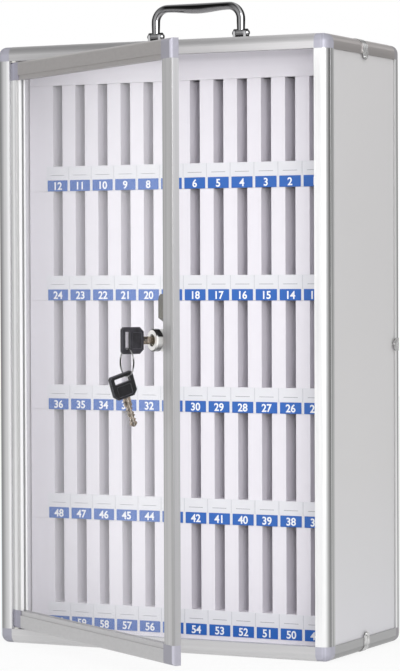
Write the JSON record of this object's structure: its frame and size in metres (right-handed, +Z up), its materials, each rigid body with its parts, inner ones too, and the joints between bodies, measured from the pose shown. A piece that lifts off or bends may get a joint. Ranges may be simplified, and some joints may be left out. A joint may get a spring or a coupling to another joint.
{
  "type": "phone locker cabinet",
  "caption": "Upright phone locker cabinet: edge-profile frame with plastic corners, shelves of narrow numbered slots, clear framed door with a cam lock, folding carry handle.",
  "frame": {"origin": "on the standing surface, in the middle of the flat underside of the rear bottom rail", "axes": "+Z up along the cabinet's height, front facing -Y, +X across the width towards the lock side"},
  "size_m": [0.4036, 0.4244, 0.708],
  "materials": {
    "frame": "satin anodised",
    "corner": "fine moulded grain",
    "panel": "smooth satin coating",
    "shelf": "smooth satin",
    "label": "printed matt film",
    "pane": "clear polished acrylic",
    "steel": "zinc plated",
    "lock": "bright nickel",
    "cam": "yellow passivated zinc",
    "blade": "nickel plated, bright",
    "bow": "moulded black plastic",
    "washer": "natural nylon",
    "handle": "bright chrome plate"
  },
  "bodies": {
    "cabinet": {"front_post_left": "frame", "front_post_right": "frame", "front_rail_top": "frame", "front_rail_bottom": "frame", "rear_post_left": "frame", "rear_post_right": "frame", "rear_rail_top": "frame", "rear_rail_bottom": "frame", "side_rails_left": "frame", "side_rails_right": "frame", "front_corner_top_left": "corner", "front_corner_bottom_left": "corner", "front_corner_top_right": "corner", "front_corner_bottom_right": "corner", "rear_corners": "corner", "side_panel_left": "panel", "side_panel_right": "panel", "top_panel": "panel", "bottom_panel": "panel", "back_panel": "panel", "shelf_1": "shelf", "shelf_2": "shelf", "shelf_3": "shelf", "shelf_4": "shelf", "shelf_5": "shelf", "dividers_1": "shelf", "dividers_2": "shelf", "dividers_3": "shelf", "dividers_4": "shelf", "dividers_5": "shelf", "label_strips": "label", "top_fascia": "shelf", "shelf_brackets": "steel", "edge_clips": "steel", "handle_brackets": "handle", "handle_pins": "steel", "handle_screws": "steel"},
    "door": {"door_hinge_stile": "frame", "door_free_stile": "frame", "door_top_rail": "frame", "door_bottom_rail": "frame", "door_corner_top_hinge": "corner", "door_corner_bottom_hinge": "corner", "door_corners_free": "corner", "door_pane": "pane", "hinge_pins": "steel", "hinge_washers": "washer", "lock_body": "lock", "lock_nut": "lock"},
    "lock": {"lock_plug": "lock", "lock_cam": "cam", "cam_screw": "steel", "key_blade": "blade", "key_bow": "bow"},
    "key_ring": {"key_ring": "steel"},
    "spare_key": {"spare_key_blade": "blade", "spare_key_bow": "bow"},
    "handle": {"handle_loop": "handle"}
  },
  "joints": [
    {"name": "door_hinge", "type": "hinge", "parent": "cabinet", "child": "door", "pos_m": [-0.1785, -0.183, 0.33], "axis": [0, 0, -1], "range_deg": [-34, 61]},
    {"name": "lock_turn", "type": "hinge", "parent": "door", "child": "lock", "pos_m": [0.08759, -0.36791, 0.3415], "axis": [0.5592, 0.829, 0], "range_deg": [0, 90]},
    {"name": "ring_swing", "type": "hinge", "parent": "lock", "child": "key_ring", "pos_m": [0.07054, -0.3932, 0.33388], "axis": [-0.829, 0.5592, 0], "range_deg": [-12, 70]},
    {"name": "spare_key_swing", "type": "hinge", "parent": "key_ring", "child": "spare_key", "pos_m": [0.07054, -0.3932, 0.30568], "axis": [-0.829, 0.5592, 0], "range_deg": [-10, 70]},
    {"name": "handle_fold", "type": "hinge", "parent": "cabinet", "child": "handle", "pos_m": [0, -0.0875, 0.673], "axis": [1, 0, 0], "range_deg": [-82, 82]}
  ]
}
